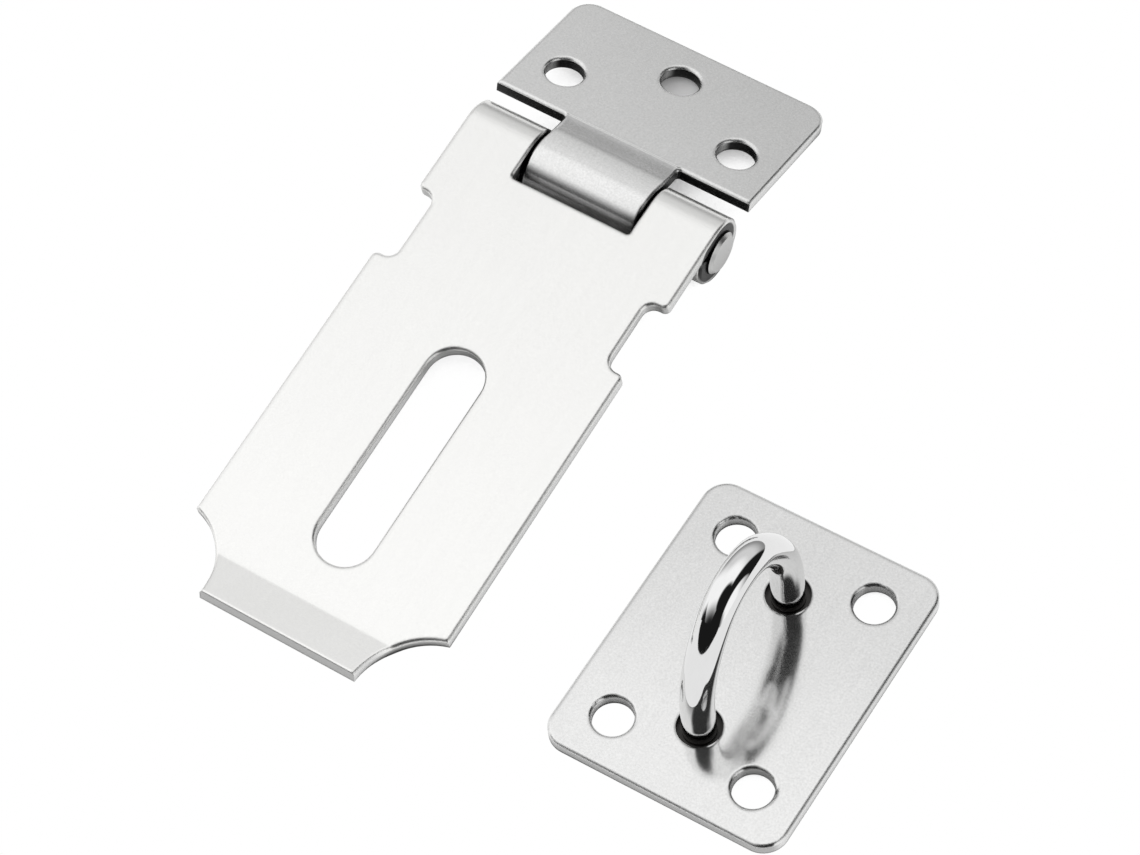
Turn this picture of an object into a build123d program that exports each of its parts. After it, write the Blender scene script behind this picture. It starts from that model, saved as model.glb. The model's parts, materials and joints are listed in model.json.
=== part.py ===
from build123d import *
from math import acos, asin, atan2, cos, degrees, hypot, radians, sin
import os

# Padlock hasp of stamped stainless sheet, lying open on a table, with its staple plate beside it.
# X runs along the hinge pin, +Y from the strap's tip towards the screwed leaf, +Z up from the table.

# Sheet, pin and barrel, in millimetres and degrees
sheet = 2.0
edge_break = 0.4
pin_diameter = 7.2
pin_clearance = 0.05
pin_proud = 0.8
pin_end_break = 0.5
seam_gap = 0.3

# Strap: the long swinging half
strap_width = 45.4
fold_reach = 81.9
fold_radius = 1.5
lip_length = 7.0
lip_angle = 16.0
lip_width = 27.8
scallop_radius = 12.0
slot_width = 9.7
slot_reach = 40.2
slot_centres = 30.2
notch_reach = 14.75
notch_length = 12.65
notch_depth = 3.4
notch_inner_round = 2.0
notch_outer_round = 1.0

# Knuckles: one on the leaf between two on the strap
knuckle_width = 20.6
knuckle_side_gap = 0.4
knuckle_front_gap = 0.65
cutout_round = 0.5

# Leaf: the short half with three screw holes, its face a little below the top of the barrel
leaf_width = 46.5
leaf_gap = 1.8
leaf_drop = 0.4
leaf_climb_setback = 0.8
leaf_depth = 26.1
leaf_corner = 3.8
leaf_relief_round = 0.6
leaf_hole = 6.4
leaf_side_spacing = 31.8
leaf_side_setback = 8.55
leaf_middle_setback = 18.1

# Staple plate with four screw holes
plate_width = 40.0
plate_length = 51.0
plate_corner = 4.0
plate_hole = 6.4
plate_hole_span_x = 23.8
plate_hole_span_y = 35.0
plate_from_pin_x = 61.88
plate_from_pin_y = -57.94

# Staple: one bent bar, its legs peened over at the back of the plate into low buttons
bar_diameter = 5.2
leg_spacing = 25.4
leg_clearance = 0.9
staple_height = 29.1
staple_side_radius = 25.0
staple_crown_radius = 8.5
peen_depth = 0.8
peen_flare = 0.7
peen_rise = 0.7

# Sizes that follow from the ones above
pin_radius = pin_diameter / 2
leaf_bore = pin_radius
strap_bore = pin_radius + pin_clearance
barrel_radius = strap_bore + sheet
leaf_top = leaf_bore + sheet - leaf_drop
leaf_under = leaf_top - sheet
leaf_start = barrel_radius + leaf_gap
leaf_end = leaf_start + leaf_depth
cutout_width = knuckle_width + 2 * knuckle_side_gap
cutout_reach = barrel_radius + knuckle_front_gap
through = 4 * barrel_radius + lip_length
leg_hole_radius = bar_diameter / 2 + leg_clearance
peen_radius = leg_hole_radius + peen_flare


# Rolled end of a sheet in side view: it leaves the flat part at the given angle, goes round the pin
# and ends just under the flat part again
def roll(bore, start, under):
    turn = 360 + degrees(asin((under - seam_gap) / (bore + sheet))) - start
    outside = CenterArc((0, 0), bore + sheet, start, turn)
    inside = CenterArc((0, 0), bore, start, turn)
    Line(outside @ 1, inside @ 1)


# Strap in side view: flat and level with the top of the barrel, then bent up into the finger lip
def strap_section():
    with BuildSketch(Plane.YZ) as section:
        with BuildLine():
            roll(strap_bore, 90, strap_bore)
            Line((0, barrel_radius), (fold_reach, barrel_radius))
            Line((0, strap_bore), (fold_reach, strap_bore))
            bend_centre = (fold_reach, barrel_radius + fold_radius)
            bend_top = CenterArc(bend_centre, fold_radius, -90, lip_angle)
            bend_under = CenterArc(bend_centre, fold_radius + sheet, -90, lip_angle)
            lip_top = PolarLine(bend_top @ 1, lip_length, lip_angle)
            lip_under = PolarLine(bend_under @ 1, lip_length, lip_angle)
            Line(lip_top @ 1, lip_under @ 1)
        make_face()
    return section.sketch


# Leaf in side view: the knuckle's tongue climbs from the flat face in one hollow sweep to the barrel
def leaf_section():
    leaf_outside = leaf_bore + sheet
    climb_start = leaf_start - leaf_climb_setback
    climb_radius = (climb_start**2 + leaf_top**2 - leaf_outside**2) / (2 * leaf_drop)
    climb = degrees(asin(climb_start / (leaf_outside + climb_radius)))
    with BuildSketch(Plane.YZ) as section:
        with BuildLine():
            roll(leaf_bore, 90 - climb, leaf_under)
            climb_centre = (climb_start, leaf_top + climb_radius)
            CenterArc(climb_centre, climb_radius, 270 - climb, climb)
            CenterArc(climb_centre, climb_radius + sheet, 270 - climb, climb)
            top = Line((climb_start, leaf_top), (leaf_end, leaf_top))
            under = Line((climb_start, leaf_under), (leaf_end, leaf_under))
            Line(top @ 1, under @ 1)
        make_face()
    return section.sketch


# A rolled sheet is its side view carried across the width and trimmed to the blank's outline, then the
# punched face gets broken edges, except where that face runs on smoothly into a bend
def formed_sheet(section, width, blank):
    part = extrude(section, amount=width / 2, both=True) & extrude(blank, amount=through, both=True)
    face = part.faces().filter_by(Axis.Z).sort_by(Axis.Z)[-1]
    rounds = part.faces().filter_by(GeomType.CYLINDER)
    bends = rounds.filter_by(lambda side: abs(side.axis_of_rotation.direction.X) > 0.5)
    return chamfer(face.edges() - bends.edges(), edge_break)


# Strap blank in plan: slot, side notches, scalloped tip and the opening for the leaf's knuckle
def strap_blank():
    tip = fold_reach + fold_radius * sin(radians(lip_angle)) + lip_length * cos(radians(lip_angle))
    end = tip + sheet
    with BuildSketch() as blank:
        with Locations((0, (end - 2 * barrel_radius) / 2)):
            Rectangle(strap_width, end + 2 * barrel_radius)
        with Locations((0, slot_reach + slot_centres / 2)):
            SlotCenterToCenter(slot_centres, slot_width, rotation=90, mode=Mode.SUBTRACT)
        with Locations((0, (cutout_reach - 2 * barrel_radius) / 2)):
            RectangleRounded(cutout_width, cutout_reach + 2 * barrel_radius, cutout_round, mode=Mode.SUBTRACT)
        for side in (-1, 1):
            edge = side * strap_width / 2
            with Locations((edge, notch_reach + notch_length / 2)):
                RectangleRounded(2 * notch_depth, notch_length, notch_inner_round, mode=Mode.SUBTRACT)
            with Locations((side * (lip_width / 2 + scallop_radius), tip)):
                Circle(scallop_radius, mode=Mode.SUBTRACT)
            with Locations((side * (lip_width / 2 + scallop_radius), tip + sheet)):
                Rectangle(2 * scallop_radius, 2 * sheet, mode=Mode.SUBTRACT)
        mouths = [
            corner
            for corner in blank.vertices()
            if abs(abs(corner.X) - strap_width / 2) < edge_break
            and notch_reach - sheet < corner.Y < notch_reach + notch_length + sheet
        ]
        fillet(mouths, notch_outer_round)
    return blank.sketch


def make_strap():
    return Rot(Z=180) * formed_sheet(strap_section(), strap_width, strap_blank())


# Leaf blank in plan: a plate with rounded far corners and one narrow tongue that becomes the knuckle
def leaf_blank():
    with BuildSketch() as blank:
        with Locations((0, leaf_start + leaf_depth / 2)):
            Rectangle(leaf_width, leaf_depth)
        fillet(blank.vertices().group_by(Axis.Y)[-1], leaf_corner)
        with Locations((0, (leaf_start - 2 * barrel_radius) / 2)):
            Rectangle(knuckle_width, leaf_start + 2 * barrel_radius)
        inner = [corner for corner in blank.vertices() if abs(abs(corner.X) - knuckle_width / 2) < edge_break]
        fillet([corner for corner in inner if corner.Y > 0], leaf_relief_round)
        with Locations((0, leaf_start + leaf_middle_setback)):
            Circle(leaf_hole / 2, mode=Mode.SUBTRACT)
        with Locations((0, leaf_start + leaf_side_setback)):
            with GridLocations(leaf_side_spacing, 0, 2, 1):
                Circle(leaf_hole / 2, mode=Mode.SUBTRACT)
    return blank.sketch


def make_leaf():
    return formed_sheet(leaf_section(), leaf_width, leaf_blank())


def make_pin():
    length = strap_width + 2 * pin_proud
    pin = Rot(Y=90) * Cylinder(pin_radius, length)
    return chamfer(pin.edges().filter_by(GeomType.CIRCLE), pin_end_break)


# Countersink in the plate's back and the part of a peened head that fills it share this cone
def peen_cones(mode):
    upwards = (Align.CENTER, Align.CENTER, Align.MIN)
    with GridLocations(0, leg_spacing, 1, 2):
        Cone(peen_radius, leg_hole_radius, peen_depth, align=upwards, mode=mode)


# The rest of a peened head is a button that stands proud of the plate's back
def peen_buttons():
    downwards = (Align.CENTER, Align.CENTER, Align.MAX)
    with GridLocations(0, leg_spacing, 1, 2):
        Cone(leg_hole_radius, peen_radius, peen_rise, align=downwards)


def make_plate():
    with BuildPart() as plate:
        with BuildSketch():
            RectangleRounded(plate_width, plate_length, plate_corner)
            with GridLocations(plate_hole_span_x, plate_hole_span_y, 2, 2):
                Circle(plate_hole / 2, mode=Mode.SUBTRACT)
        extrude(amount=sheet)
        chamfer(plate.faces().sort_by(Axis.Z)[-1].edges(), edge_break)
        with GridLocations(0, leg_spacing, 1, 2):
            Hole(leg_hole_radius)
        peen_cones(Mode.SUBTRACT)
    return plate.part


# The bar follows a straight leg, a wide side bend and a tight crown, then the same again downwards
def make_staple():
    half = leg_spacing / 2
    crown_top = staple_height - bar_diameter / 2
    side_turn = acos((staple_side_radius - half) / (staple_side_radius - staple_crown_radius))
    bend_start = crown_top - staple_crown_radius - (staple_side_radius - staple_crown_radius) * sin(side_turn)
    with BuildPart() as staple:
        with BuildLine(Plane.YZ) as path:
            leg = Line((-half, 0), (-half, bend_start))
            rise = JernArc(leg @ 1, leg % 1, staple_side_radius, -degrees(side_turn))
            crown = JernArc(rise @ 1, rise % 1, staple_crown_radius, 2 * degrees(side_turn) - 180)
            fall = JernArc(crown @ 1, crown % 1, staple_side_radius, -degrees(side_turn))
            Line(fall @ 1, (half, 0))
        with BuildSketch(Plane(origin=(0, -half, 0), z_dir=(0, 0, 1))):
            Circle(bar_diameter / 2)
        sweep(path=path.line)
        peen_cones(Mode.ADD)
        peen_buttons()
    return staple.part


# Tilt at which the strap's fold, and the leaf's far edge, come down to the table
def strap_tilt():
    bend_height = barrel_radius + fold_radius
    arm = hypot(fold_reach, bend_height)
    return degrees(acos((fold_radius + sheet - barrel_radius) / arm) - atan2(fold_reach, bend_height))


def leaf_tilt():
    arm = hypot(leaf_end, leaf_under)
    return degrees(asin(barrel_radius / arm) + atan2(leaf_under, leaf_end))


# Tilt at which the staple plate rests on one long edge and on the peened heads
def plate_tilt():
    return degrees(atan2(peen_rise, plate_width / 2 - leg_hole_radius))


# The hinge rests on its barrel, and the staple plate lies beside it with its far edge up
axis_place = Pos(Z=barrel_radius)
plate_lift = plate_width / 2 * sin(radians(plate_tilt()))
plate_place = Pos(plate_from_pin_x, plate_from_pin_y, plate_lift) * Rot(Y=-plate_tilt())
nodes = {
    "strap": axis_place * Rot(X=strap_tilt()) * make_strap(),
    "fixed_leaf": axis_place * Rot(X=-leaf_tilt()) * make_leaf(),
    "hinge_pin": axis_place * make_pin(),
    "staple_plate": plate_place * make_plate(),
    "staple": plate_place * make_staple(),
}

# The origin is under the middle of the whole set, on the table
boxes = [solid.bounding_box() for solid in nodes.values()]
middle_x = (min(box.min.X for box in boxes) + max(box.max.X for box in boxes)) / 2
middle_y = (min(box.min.Y for box in boxes) + max(box.max.Y for box in boxes)) / 2
to_middle = Pos(-middle_x, -middle_y, 0)
os.makedirs("parts", exist_ok=True)
for name, solid in nodes.items():
    export_step(to_middle * solid, f"parts/{name}.step")
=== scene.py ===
import json
import math

import bmesh
import bpy
from mathutils import Matrix, Vector

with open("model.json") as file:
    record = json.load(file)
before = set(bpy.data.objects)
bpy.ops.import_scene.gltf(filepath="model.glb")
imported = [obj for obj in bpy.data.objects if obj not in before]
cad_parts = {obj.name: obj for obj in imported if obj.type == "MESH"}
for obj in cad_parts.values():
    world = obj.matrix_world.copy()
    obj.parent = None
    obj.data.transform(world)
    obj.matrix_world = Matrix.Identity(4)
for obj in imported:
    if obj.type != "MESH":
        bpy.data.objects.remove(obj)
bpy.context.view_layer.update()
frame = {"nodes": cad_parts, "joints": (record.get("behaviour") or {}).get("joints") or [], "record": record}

# Fixed leaf: the short half of the hasp, stamped from 2 mm stainless sheet and rolled round the pin.
# Its skin has a fine satin grain with a painted light gradient, and painted highlights on the punch's
# rolled-over rims. Crevices and edges turned to the strap's tip get painted shade; the knuckle's tongue dips
# behind one bright crease.


class Shade:
    """One socket of a node tree. Arithmetic on it adds Math nodes to the same tree."""

    def __init__(self, tree, socket=None):
        self.tree = tree
        self.socket = socket

    def node(self, kind, settings, sockets, output=0):
        made = self.tree.nodes.new(kind)
        for name, value in settings.items():
            setattr(made, name, value)
        for name, value in sockets.items():
            if isinstance(value, Shade):
                self.tree.links.new(value.socket, made.inputs[name])
            else:
                made.inputs[name].default_value = value
        return Shade(self.tree, made.outputs[output] if made.outputs else None)

    def maths(self, operation, *terms):
        return self.node("ShaderNodeMath", {"operation": operation}, dict(enumerate(terms)))

    def vectors(self, operation, *terms, output=0):
        settings = {"operation": operation}
        return self.node("ShaderNodeVectorMath", settings, dict(enumerate(terms)), output)

    def __add__(self, other):
        return self.maths("ADD", self, other)

    def __sub__(self, other):
        return self.maths("SUBTRACT", self, other)

    def __mul__(self, other):
        return self.maths("MULTIPLY", self, other)

    def __rsub__(self, other):
        return self.maths("SUBTRACT", other, self)

    __radd__ = __add__
    __rmul__ = __mul__

    def size(self):
        return self.maths("ABSOLUTE", self)

    def either(self, other):
        return self.maths("MAXIMUM", self, other)

    def along(self, direction):
        return self.vectors("DOT_PRODUCT", self, direction, output="Value")

    def rise(self, low, high):
        settings = {"interpolation_type": "SMOOTHSTEP"}
        sockets = {"Value": self, "From Min": low, "From Max": high}
        return self.node("ShaderNodeMapRange", settings, sockets)

    def between(self, low, high):
        ends = {6: low, 7: high}
        sockets = {slot: end if isinstance(end, Shade) else (*end, 1) for slot, end in ends.items()}
        return self.node("ShaderNodeMix", {"data_type": "RGBA"}, {0: self, **sockets}, output=2)

    def coordinates(self, kind):
        return self.node("ShaderNodeTexCoord", {}, {}, output=kind)

    def noise(self, scale, detail, place, stretch=(1, 1, 1)):
        spread = self.node("ShaderNodeMapping", {}, {"Vector": place, "Scale": stretch})
        sockets = {"Vector": spread, "Scale": scale, "Detail": detail, "Roughness": 0.6}
        return self.node("ShaderNodeTexNoise", {}, sockets)

    def openness(self, samples, reach):
        settings = {"samples": samples}
        return self.node("ShaderNodeAmbientOcclusion", settings, {"Distance": reach}, output="AO")

    def bump(self, strength, depth, height, **under):
        sockets = {"Strength": strength, "Distance": depth, "Height": height, **under}
        return self.node("ShaderNodeBump", {}, sockets)


def new_finish(name):
    material = bpy.data.materials.new(name)
    material.use_nodes = True
    material.node_tree.nodes.clear()
    return material, Shade(material.node_tree)


def finish_surface(shade, sockets):
    skin = shade.node("ShaderNodeBsdfPrincipled", {}, sockets)
    shade.node("ShaderNodeOutputMaterial", {}, {"Surface": skin})


def record_mount(name):
    return next(mount for mount in frame["record"]["mounts"] if mount["name"] == name)


def off_axis(shade, from_axis):
    """Distance from a line along the pin."""
    across = shade.vectors("MULTIPLY", from_axis, (0, 1, 1))
    return shade.vectors("LENGTH", across, output="Value")


along_pin = Vector((1, 0, 0))
to_tip = Vector((0, -1, 0))
hinge_place = Vector(frame["joints"][0]["pos_m"])

# Marks per metre of surface, and the stretch of those that run one way
grain_per_metre = 3000
cloud_per_metre = 60
streak_per_metre = 900
streak_stretch = (1, 0.05, 1)
shear_per_metre = 2600
shear_stretch = (1, 1, 0.12)

# Radii and depths in metres
edge_radius = 0.0007
barrel_radius = 0.0059
# The next two place a painted shade ring in the gap round the pin at the bore's mouth
gap_shade_radius = 0.0049
gap_shade_offset = Vector((0, 0.00055, -0.0007))
soft_border = 0.0004
grain_depth = 0.00002
grain_strength = 0.12
dip_depth = 0.0004
dip_fall = 2.3
dip_fall_span = 0.001, 0.0084
dip_rise = 2.0
dip_rise_span = -0.001, 0.004

# How far a surface turns towards a direction before a mark starts and until it is full
edge_turn = 0.3, 0.6
knuckle_end_turn = 0.5, 0.7
tipward_shade_turn = 0.3, 0.7
face_turn = 0.85, 0.97
rim_turn = 0.01, 0.12
# Openness over which the painted crevice shade fades out
crevice_shade_span = 0.55, 0.95

# Shares of the marks in the tone, the relief and the roughness
tone_start = 0.025
cloud_tone = 0.30
streak_tone = 0.20
# The rims' share is a painted highlight
rim_painted_highlight = 0.35
# The sweep's share is a painted light gradient
light_sweep_tone = 0.5
grain_relief = 0.6
streak_relief = 0.4
shear_relief = 1.5
cloud_matt = 0.10
grain_matt = 0.05
rim_gloss = 0.06
shear_matt = 0.16

# Near black used only as painted shade: in crevices, in the gap at the bore's mouth and on the leaf's
# tipward edges
painted_shade_black = (0.03, 0.03, 0.03)
shear_light = (0.78, 0.78, 0.775)


def satin_sheet(
    name, face, dark, light, light_sweep, tipward_edge_shade, crevice_shade_reach, metal, roughness, graininess, crease=None
):
    material, shade = new_finish(name)
    place = shade.coordinates("Object")
    outward = shade.coordinates("Normal")
    from_pin = shade.vectors("SUBTRACT", place, hinge_place)

    grain = shade.noise(grain_per_metre, 2, place)
    clouds = shade.noise(cloud_per_metre, 3, place)
    streaks = shade.noise(streak_per_metre, 3, place, streak_stretch)
    shear_marks = shade.noise(shear_per_metre, 2, place, shear_stretch)

    # Cut edges, apart from the barrel's round, and their rolled-over rims, which carry a painted highlight
    flatness = outward.along(face).size()
    off_barrel = off_axis(shade, from_pin).rise(barrel_radius, barrel_radius + soft_border)
    knuckle_end = outward.along(along_pin).size().rise(*knuckle_end_turn)
    sheared = (1 - flatness.rise(*edge_turn)) * knuckle_end.either(off_barrel)
    rounded = shade.node("ShaderNodeBevel", {"samples": 8}, {"Radius": edge_radius})
    facing = shade.node("ShaderNodeNewGeometry", {}, {}, output="Normal")
    rim = (1 - facing.along(rounded)).rise(*rim_turn)

    # Relief: the tongue's dip behind its crease, then the grain on all of it
    bent = rounded
    if crease is not None:
        back = from_pin.along(face.cross(along_pin))
        step = back.rise(crease, crease + soft_border)
        dip = step - dip_fall * back.rise(*dip_fall_span) + dip_rise * back.rise(*dip_rise_span)
        bent = shade.bump(flatness.rise(*face_turn), dip_depth, dip, Normal=rounded)
    relief = grain_relief * grain + streak_relief * streaks + shear_relief * sheared * shear_marks
    grained = shade.bump(grain_strength, grain_depth, relief, Normal=bent)

    # Colour: satin skin and cut edges, with a painted light gradient and painted highlights on the rims,
    # and painted shade in the gap at the bore's mouth, in crevices and on edges turned to the tip
    # Painted light: the tone grows lighter along one direction across each sheet
    way, first, last = light_sweep
    painted_light_sweep = from_pin.along(way).rise(first, last)
    marks = cloud_tone * clouds + streak_tone * streaks + graininess * (grain - 0.5)
    tone = marks + rim_painted_highlight * rim + light_sweep_tone * painted_light_sweep + tone_start
    # Painted shade: the gap round the pin at the bore's mouth is painted black
    from_gap_shade = shade.vectors("ADD", from_pin, gap_shade_offset)
    painted_gap_shade = 1 - off_axis(shade, from_gap_shade).rise(gap_shade_radius, gap_shade_radius + soft_border)
    # Painted shade: cut edges turned towards the tip take a darker colour
    tipward_shade_mask = outward.along(to_tip).rise(*tipward_shade_turn)
    cut = painted_gap_shade.between(tipward_shade_mask.between(shear_light, tipward_edge_shade), painted_shade_black)
    skin = sheared.between(tone.between(dark, light), cut)
    # Painted shade: crevices found by ambient occlusion are painted near black
    painted_crevice_shade = shade.openness(8, crevice_shade_reach).rise(*crevice_shade_span)

    matt = cloud_matt * (clouds - 0.5) + grain_matt * (grain - 0.5) + shear_matt * sheared
    finish_surface(
        shade,
        {
            "Base Color": painted_crevice_shade.between(painted_shade_black, skin),
            "Metallic": metal,
            "Roughness": roughness + matt - rim_gloss * rim,
            "Normal": grained,
        },
    )
    return material


leaf = frame["nodes"]["fixed_leaf"]
leaf.material_slots[0].material = satin_sheet(
    "leaf_satin",
    face=Vector(record_mount("leaf_back")["axis"]),
    dark=(0.61, 0.61, 0.605),
    light=(0.82, 0.82, 0.815),
    light_sweep=(Vector((-0.6, -0.8, 0)), -0.042, 0.006),
    # The leaf's edges turned to the tip are painted black as painted shade
    tipward_edge_shade=painted_shade_black,
    crevice_shade_reach=0.004,
    metal=0.92,
    roughness=0.22,
    graininess=1.2,
    crease=0.00745,
)

# Hinge pin: a plain turned stainless rod, driven through the three knuckles and tight in the leaf's.
# Only its two faced ends show, with the faint rings of the parting tool. Its side is painted near black as
# painted shade in the bore.
pin_dark = (0.46, 0.46, 0.46)
pin_light = (0.62, 0.62, 0.61)
# Near black painted on the rod's side as shade in the bore
pin_side_shade = (0.03, 0.03, 0.03)
pin_rings_per_metre = 3200
pin_clouds_per_metre = 300
pin_ring_tone = 0.15
pin_end_turn = 0.3, 0.6
pin_roughness = 0.28
pin_cloud_matt = 0.12


def turned_rod(name):
    material, shade = new_finish(name)
    place = shade.coordinates("Object")
    reach = off_axis(shade, shade.vectors("SUBTRACT", place, hinge_place))
    rings = 0.5 + 0.5 * shade.maths("SINE", reach * (2 * math.pi * pin_rings_per_metre))
    clouds = shade.noise(pin_clouds_per_metre, 3, place)
    faced = shade.coordinates("Normal").along(along_pin).size().rise(*pin_end_turn)
    tone = pin_ring_tone * rings + (1 - pin_ring_tone) * clouds
    finish_surface(
        shade,
        {
            "Base Color": faced.between(pin_side_shade, tone.between(pin_dark, pin_light)),
            "Metallic": 1.0,
            "Roughness": pin_roughness + pin_cloud_matt * clouds,
            "Normal": shade.bump(0.06, grain_depth, 0.5 * rings + 0.5 * clouds),
        },
    )
    return material


pin = frame["nodes"]["hinge_pin"]
pin.material_slots[0].material = turned_rod("pin_turned")

# Strap: the long swinging half, stamped from the same sheet, its two outer knuckles rolled round the
# pin and its tip turned up as a finger lip. Its tone is painted paler than the other sheets as painted
# light, with its rolling marks lengthwise.
strap_slope = math.radians(6.49)
strap = frame["nodes"]["strap"]
strap.material_slots[0].material = satin_sheet(
    "strap_satin",
    face=Vector((0, -math.sin(strap_slope), math.cos(strap_slope))),
    # Painted light: these tones are set paler than the other sheets of the same steel
    dark=(0.78, 0.778, 0.766),
    light=(0.92, 0.918, 0.905),
    light_sweep=(to_tip, -0.006, 0.08),
    # Edges turned to the tip are painted mid grey as painted shade
    tipward_edge_shade=(0.50, 0.50, 0.495),
    crevice_shade_reach=0.002,
    metal=0.85,
    roughness=0.22,
    graininess=0.7,
)

# Staple plate: a flat stamped plate of the same sheet, buffed a little smoother and given a slightly darker
# tone, with four screw holes and two countersunk leg holes.
plate_back = record_mount("staple_back")
plate_face = -Vector(plate_back["axis"])
plate = frame["nodes"]["staple_plate"]
plate.material_slots[0].material = satin_sheet(
    "plate_satin",
    face=plate_face,
    dark=(0.57, 0.57, 0.567),
    light=(0.80, 0.80, 0.795),
    light_sweep=(to_tip, 0.035, 0.082),
    # Edges turned to the tip are painted mid grey as painted shade
    tipward_edge_shade=(0.45, 0.45, 0.447),
    crevice_shade_reach=0.0012,
    metal=0.93,
    roughness=0.10,
    graininess=1.0,
)

# Staple: one round stainless bar, bent hot into a tall loop, mirror-polished, its legs passed through
# the plate and peened over at the back. Hand polishing leaves the bar very slightly wavy, and the legs
# stay unpolished inside the plate, where they are painted near black as painted shade.
bar_dark = (0.70, 0.70, 0.70)
bar_light = (0.82, 0.82, 0.82)
# Near black painted on the legs inside the plate as painted shade
root_shade = (0.06, 0.058, 0.056)
plate_thickness = 0.002
root_border = plate_thickness - 0.0010, plate_thickness - 0.0004
root_matt = 0.4
waves_per_metre = 110
wave_strength = 0.05
wave_depth = 0.0004
wave_tone = 0.7
scratches_per_metre = 2600
scratch_stretch = (1, 0.15, 0.15)
scratch_relief = 0.002
scratch_tone = 0.3
scratch_matt = 0.04
bar_roughness = 0.035


def mirror_polish(name):
    material, shade = new_finish(name)
    place = shade.coordinates("Object")
    above_back = shade.vectors("SUBTRACT", place, plate_back["pos_m"]).along(plate_face)
    root = 1 - above_back.rise(*root_border)
    waves = shade.noise(waves_per_metre, 1, place)
    scratches = shade.noise(scratches_per_metre, 2, place, scratch_stretch)
    polish = (wave_tone * waves + scratch_tone * scratches).between(bar_dark, bar_light)
    finish_surface(
        shade,
        {
            "Base Color": root.between(polish, root_shade),
            "Metallic": 1.0,
            "Roughness": bar_roughness + scratch_matt * scratches + root_matt * root,
            "Normal": shade.bump(wave_strength, wave_depth, waves + scratch_relief * scratches),
        },
    )
    return material


staple = frame["nodes"]["staple"]
staple.material_slots[0].material = mirror_polish("bar_polish")

# Studio floor: a wide sheet of white paper that the hasp lies on. In the open it is plain white. It
# darkens close under the steel, and a painted shadow band darkens it most under the middle of the leaf,
# whose far edge rests on it.
floor_half = 1.5
paper_white = (0.92, 0.92, 0.92, 1)
glow_white = (1, 1, 1, 1)
to_leaf = (0, 1, 0)
shadow_reach = 0.02
shadow_fade = 0.0, 0.18
mirror_fade = 0.35, 0.8
# Where the painted shadow band under the leaf lies
rest_line = 0.0335
rest_start = rest_line - 0.0155, rest_line - 0.0075
rest_end = rest_line - 0.0005, rest_line
rest_half = 0.012
rest_sides = rest_half - 0.005, rest_half
rest_shadow = 0.75
paper = bmesh.new()
bmesh.ops.create_grid(paper, x_segments=1, y_segments=1, size=floor_half)
floor_mesh = bpy.data.meshes.new("floor")
paper.to_mesh(floor_mesh)
paper.free()
floor = bpy.data.objects.new("floor", floor_mesh)
bpy.context.scene.collection.objects.link(floor)


def white_paper(name):
    material, shade = new_finish(name)
    seen, mirrored = (
        shade.node("ShaderNodeLightPath", {}, {}, output=ray)
        for ray in ("Is Camera Ray", "Is Glossy Ray")
    )
    from_hinge = shade.vectors("SUBTRACT", shade.coordinates("Object"), hinge_place)
    under = from_hinge.along(to_leaf)
    # Painted shadow: a band close under the middle of the leaf keeps the glow off the paper
    middle = 1 - from_hinge.along(along_pin).size().rise(*rest_sides)
    painted_rest_shadow = middle * under.rise(*rest_start) * (1 - under.rise(*rest_end))
    openness = shade.openness(12, shadow_reach)
    clear = openness.rise(*shadow_fade) * (1 - rest_shadow * painted_rest_shadow)
    glowing = (seen * clear).either(mirrored * openness.rise(*mirror_fade))
    sheet = shade.node("ShaderNodeBsdfDiffuse", {}, {"Color": paper_white})
    glow = shade.node("ShaderNodeEmission", {}, {"Color": glow_white, "Strength": 1.0})
    mixed = shade.node("ShaderNodeMixShader", {}, {0: glowing, 1: sheet, 2: glow})
    shade.node("ShaderNodeOutputMaterial", {}, {"Surface": mixed})
    return material


floor_mesh.materials.append(white_paper("white_paper"))

# Studio light: a white tent overhead and to the left, dimmer and graded behind, with a soft box low on
# the right. The right side between them, the low front and the place of the lens stay dark, and those
# give the polished bar its dark bands. The camera itself sees plain white.
tent_white = 1.17
tent_back_edge = 0.05, 0.45
tent_back_low = 0.30
tent_back_middle = 0.48
tent_back_middle_height = 0.0, 0.5
tent_back_top = 0.42
tent_back_top_height = 0.6, 0.95
gap_dark = 0.012
gap_edge = 0.39
gap_border = gap_edge - 0.05, gap_edge + 0.08
gap_lean = 0.42
box_azimuth = math.radians(-3)
box_height = math.radians(8)
box_towards = (
    math.cos(box_height) * math.cos(box_azimuth),
    math.cos(box_height) * math.sin(box_azimuth),
    math.sin(box_height),
)
box_border = 0.86, 0.90
front_top = 0.27, 0.36
front_low_edge = 0.3, 0.6
front_edge = 0.46, 0.92
lens_towards = (0.308, -0.419, 0.854)
lens_border = 0.86, 0.94
world = bpy.data.worlds.new("studio")
world.use_nodes = True
world.node_tree.nodes.clear()
bpy.context.scene.world = world
sky = Shade(world.node_tree)
towards = sky.coordinates("Generated")
side, depth, height = (
    sky.node("ShaderNodeSeparateXYZ", {}, {"Vector": towards}, output=axis) for axis in ("X", "Y", "Z")
)
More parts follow.
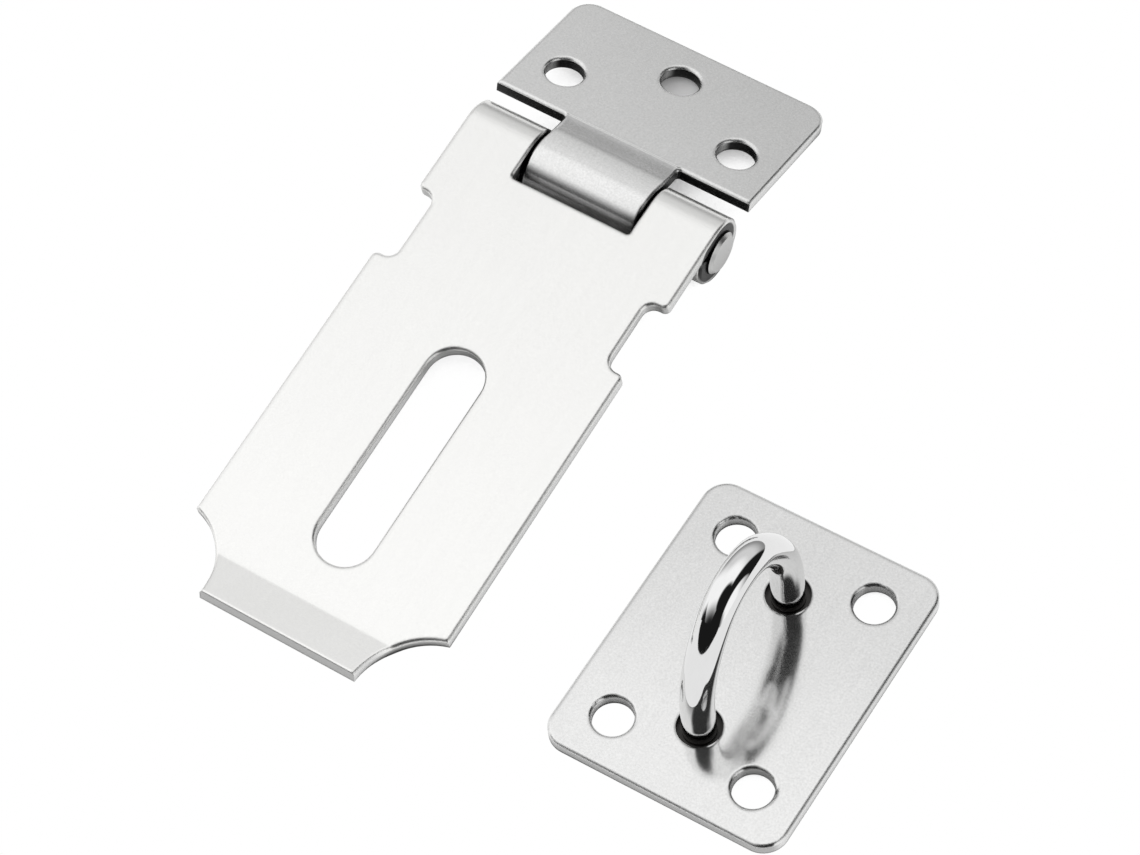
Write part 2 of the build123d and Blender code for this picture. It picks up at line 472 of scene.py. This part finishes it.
behind = depth.rise(*tent_back_edge)
tent_back = (
    tent_back_low
    + tent_back_middle * height.rise(*tent_back_middle_height)
    + tent_back_top * height.rise(*tent_back_top_height)
)
tent = tent_white * (1 - behind) + behind * tent_back
gap = (side - gap_lean * depth.maths("MINIMUM", depth, 0.0)).rise(*gap_border)
soft_box = towards.along(box_towards).rise(*box_border)
front = 0 - depth
low_front = (1 - height.rise(*front_top)) * front.rise(*front_low_edge)
dark_front = low_front.either(front.rise(*front_edge))
lens_side = towards.along(lens_towards).rise(*lens_border)
shade_side = dark_front.either(gap * (1 - soft_box)).either(lens_side)
level = tent * (1 - shade_side) + gap_dark * shade_side
seen_direct = sky.node("ShaderNodeLightPath", {}, {}, output="Is Camera Ray")
level = level * (1 - seen_direct) + seen_direct
light = sky.node("ShaderNodeBackground", {}, {"Color": (1, 1, 1, 1), "Strength": level})
sky.node("ShaderNodeOutputWorld", {}, {"Surface": light})

# Camera: a long lens that looks down on the hasp from the strap's front right, with a little roll.
# Its place is measured in its own view from the point of the table under the hinge.
image_width_px = 1140
focal_px = 4139.84
turn_degrees = 36.333
height_degrees = 58.682
roll_degrees = -5.0
hinge_right = 0.004068
hinge_up = -0.034037
hinge_away = 0.652493
film_mm = 36.0
near_limit = 0.01
aim = (
    Matrix.Rotation(math.radians(turn_degrees), 3, "Z")
    @ Matrix.Rotation(math.radians(90 - height_degrees), 3, "X")
    @ Matrix.Rotation(math.radians(roll_degrees), 3, "Z")
)
under_hinge = Vector((hinge_place.x, hinge_place.y, 0))
eye = under_hinge + aim @ Vector((-hinge_right, hinge_up, hinge_away))
lens = bpy.data.cameras.new("camera")
lens.sensor_fit = "HORIZONTAL"
lens.sensor_width = film_mm
lens.lens = film_mm * focal_px / image_width_px
lens.clip_start = near_limit
camera = bpy.data.objects.new("camera", lens)
camera.matrix_world = Matrix.Translation(eye) @ aim.to_4x4()
bpy.context.scene.collection.objects.link(camera)
bpy.context.scene.camera = camera
bpy.context.scene.view_settings.view_transform = "Standard"
